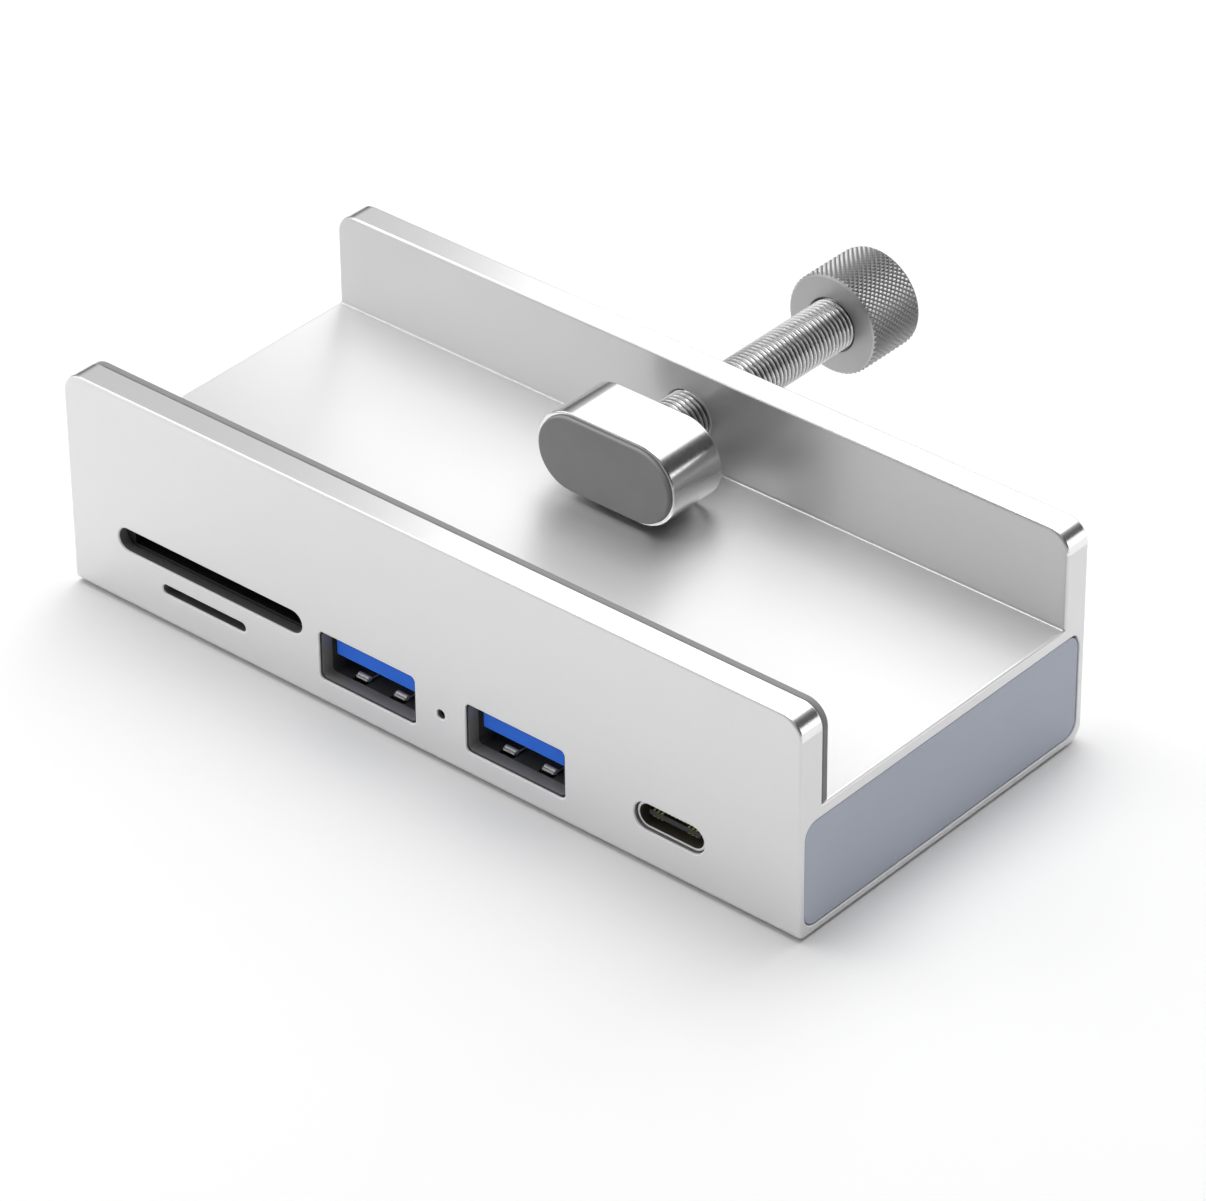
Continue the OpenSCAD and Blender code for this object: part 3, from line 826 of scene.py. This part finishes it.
make_housing()
for side in ("left", "right"):
    rounded_copy(side + "_end_cap", side + "_cap_moulding", "hub", CAP_EDGE)
    make_usb_a_shell(side)
    rounded_copy(side + "_usb_a_tongue", side + "_tongue_moulding", "hub", TONGUE_EDGE)
rounded_copy("front_grip_strip", "grip_strip_moulding", "hub", GRIP_EDGE, 3)
for place_name in ("front", "upstream"):
    make_usb_c_shell(place_name)
    tongue = place_name + "_usb_c_tongue"
    rounded_copy(tongue, tongue + "_moulding", "hub", USB_C_TONGUE_EDGE)
make_screw()
make_knob()
make_jaw()
rounded_copy("jaw_pad", "jaw_pad_moulding", "jaw", PAD_EDGE, 3)
for node_name, edge_width in BOX_EDGES.items():
    refine(node_name, edge_width)


# ---------- floor, light and surroundings ----------
FLOOR_SIZE = 4.0
FLOOR_GAP = 0.22


def make_floor():
    made, tree, shader = material("floor", Specular_IOR_Level=0.2)
    wide = noise(tree, 300.0)
    wire(tree, shader,
         Base_Color=blend_colors(tree, wide, (0.90, 0.90, 0.90), (0.92, 0.92, 0.92)),
         Roughness=spread(tree, wide, 0.6, 0.7))
    shape = bmesh.new()
    bmesh.ops.create_grid(shape, x_segments=1, y_segments=1, size=FLOOR_SIZE / 2)
    mesh = bpy.data.meshes.new("floor")
    shape.to_mesh(mesh)
    shape.free()
    mesh.materials.append(made)
    floor = bpy.data.objects.new("floor", mesh)
    floor.location.z = -FLOOR_GAP * MM
    bpy.context.scene.collection.objects.link(floor)


LIGHT_AIM = Vector((0, 0, 10)) * MM


def light_box(name, place_mm, size_mm, radiance):
    """A rectangular light aimed at the hub; its power makes it look as bright as radiance says."""
    width, height = (s * MM for s in size_mm)
    data = bpy.data.lights.new(name, "AREA")
    data.shape = "RECTANGLE"
    data.size, data.size_y = width, height
    data.energy = math.pi * width * height * radiance
    lamp = bpy.data.objects.new(name, data)
    lamp.location = Vector(place_mm) * MM
    lamp.rotation_euler = (LIGHT_AIM - lamp.location).to_track_quat("-Z", "Y").to_euler()
    bpy.context.scene.collection.objects.link(lamp)
    lamp.visible_camera = False


SKY_BACK = 0.62
SKY_FRONT = 0.18
RIGHT_SHARE = 0.12
HORIZON_FRONT = 2.6
HORIZON_BACK = 0.2
ZENITH = 0.5


# Where each change starts and ends along a direction's own axis, from -1 to 1
FRONT_TO_BACK = (-0.75, 0.3)
HORIZON_FRONT_TO_BACK = (-0.5, 0.3)
HORIZON_TO_SKY = (0.16, 0.52)
MIDDLE_TO_RIGHT = (0.12, 0.5)
SKY_TO_ZENITH = (0.62, 0.95)


def ramp(tree, value, stretch, low, high):
    """A smooth change from low to high while the value crosses the stretch."""
    start, end = stretch
    node = add(tree, "ShaderNodeMapRange", Value=value, From_Min=start, From_Max=end, To_Min=low, To_Max=high)
    node.interpolation_type = "SMOOTHSTEP"
    return node.outputs["Result"]


def combine(tree, operation, first, second):
    node = tree.nodes.new("ShaderNodeMath")
    node.operation = operation
    tree.links.new(first, node.inputs[0])
    tree.links.new(second, node.inputs[1])
    return node.outputs[0]


def make_sky():
    """Studio surroundings: light behind and overhead, dim in front and to the right.
    Near the horizon it turns round, lighter in front and dark at the back."""
    world = bpy.data.worlds.new("studio")
    bpy.context.scene.world = world
    world.use_nodes = True
    tree = world.node_tree
    where = tree.nodes.new("ShaderNodeTexCoord").outputs["Generated"]
    parts = add(tree, "ShaderNodeSeparateXYZ", Vector=where).outputs
    depth = ramp(tree, parts["Y"], FRONT_TO_BACK, SKY_FRONT, SKY_BACK)
    horizon = ramp(tree, parts["Y"], HORIZON_FRONT_TO_BACK, HORIZON_FRONT, HORIZON_BACK)
    level = combine(tree, "MULTIPLY", depth, ramp(tree, parts["Z"], HORIZON_TO_SKY, horizon, 1.0))
    sided = combine(tree, "MULTIPLY", level, ramp(tree, parts["X"], MIDDLE_TO_RIGHT, 1.0, RIGHT_SHARE))
    strength = combine(tree, "MAXIMUM", sided, ramp(tree, parts["Z"], SKY_TO_ZENITH, 0.0, ZENITH))
    background = tree.nodes["Background"]
    tree.links.new(strength, background.inputs["Strength"])
    background.inputs["Color"].default_value = (1, 1, 1, 1)


make_floor()
make_sky()
light_box("overhead", place_mm=(-170, 110, 1000), size_mm=(1000, 860), radiance=2.9)
light_box("back_window", place_mm=(-58, 300, 260), size_mm=(400, 320), radiance=0.98)
light_box("back_right_card", place_mm=(310, 300, 60), size_mm=(260, 180), radiance=1.3)
light_box("front_left_card", place_mm=(-235, -155, 150), size_mm=(220, 200), radiance=1.15)
